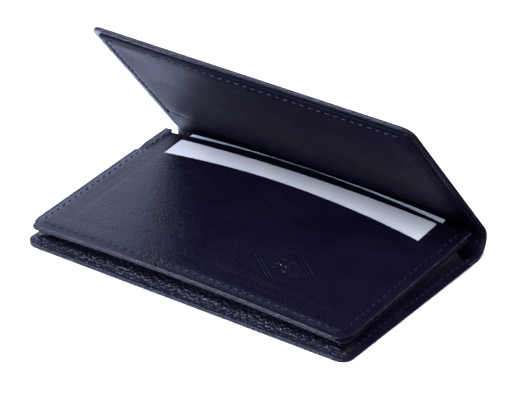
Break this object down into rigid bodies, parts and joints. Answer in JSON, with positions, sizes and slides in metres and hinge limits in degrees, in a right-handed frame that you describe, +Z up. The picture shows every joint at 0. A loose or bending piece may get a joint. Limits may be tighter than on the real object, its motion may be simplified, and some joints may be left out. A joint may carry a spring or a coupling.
{
  "type": "business card case",
  "caption": "Folding leather business card case: a stiffened cover on a rounded spine, a gusseted pocket under a page with a slip pocket, and cards in it.",
  "frame": {"origin": "middle of the back panel's outer face, which lies on the table", "axes": "+X along the spine, +Y from the front edge towards the spine, +Z up out of the back panel"},
  "size_m": [0.112, 0.0776, 0.0606],
  "materials": {
    "grained_navy_leather": "fine pebbled grain, semi-gloss",
    "smooth_navy_leather": "smooth glazed, glossy",
    "grey_board": "pressed grey paperboard",
    "navy_thread": "waxed polyester sewing thread",
    "card_stock": "coated white paper card"
  },
  "bodies": {
    "back": {"back_leather": "grained_navy_leather", "back_board": "grey_board", "back_lining": "smooth_navy_leather", "back_stitching": "navy_thread", "gusset": "grained_navy_leather"},
    "spine": {"spine_leather": "grained_navy_leather", "spine_strip": "grey_board", "spine_lining": "smooth_navy_leather", "spine_stitching": "navy_thread"},
    "lid": {"lid_leather": "grained_navy_leather", "lid_board": "grey_board", "lid_lining": "smooth_navy_leather", "lid_pocket": "smooth_navy_leather", "lid_stitching": "navy_thread"},
    "page": {"page_backing": "grained_navy_leather", "page_divider": "smooth_navy_leather", "page_pocket": "smooth_navy_leather", "page_stitching": "navy_thread"},
    "front_card": {"card_front": "card_stock"},
    "rear_card": {"card_rear": "card_stock"}
  },
  "joints": [
    {"name": "spine_crease", "type": "hinge", "parent": "back", "child": "spine", "pos_m": [0, 0.0355, 0.0008], "axis": [1, 0, 0], "range_deg": [-12, 45.5]},
    {"name": "lid_crease", "type": "hinge", "parent": "spine", "child": "lid", "pos_m": [0, 0.04001, 0.01021], "axis": [1, 0, 0], "range_deg": [-126, 0]},
    {"name": "page_swing", "type": "hinge", "parent": "back", "child": "page", "pos_m": [0, -0.0356, 0.0059], "axis": [1, 0, 0], "range_deg": [-5.6, 1.5], "deforming": ["gusset"]},
    {"name": "front_card_slide", "type": "slide", "parent": "page", "child": "front_card", "axis": [0, 0.9984, 0.0572], "range_m": [-0.006, 0.0025]},
    {"name": "rear_card_slide", "type": "slide", "parent": "page", "child": "rear_card", "axis": [0, 0.9984, 0.0572], "range_m": [-0.01, 0]}
  ],
  "couplings": [
    {"joint": "page_swing", "follows": "spine_crease", "ratio": -0.12}
  ]
}
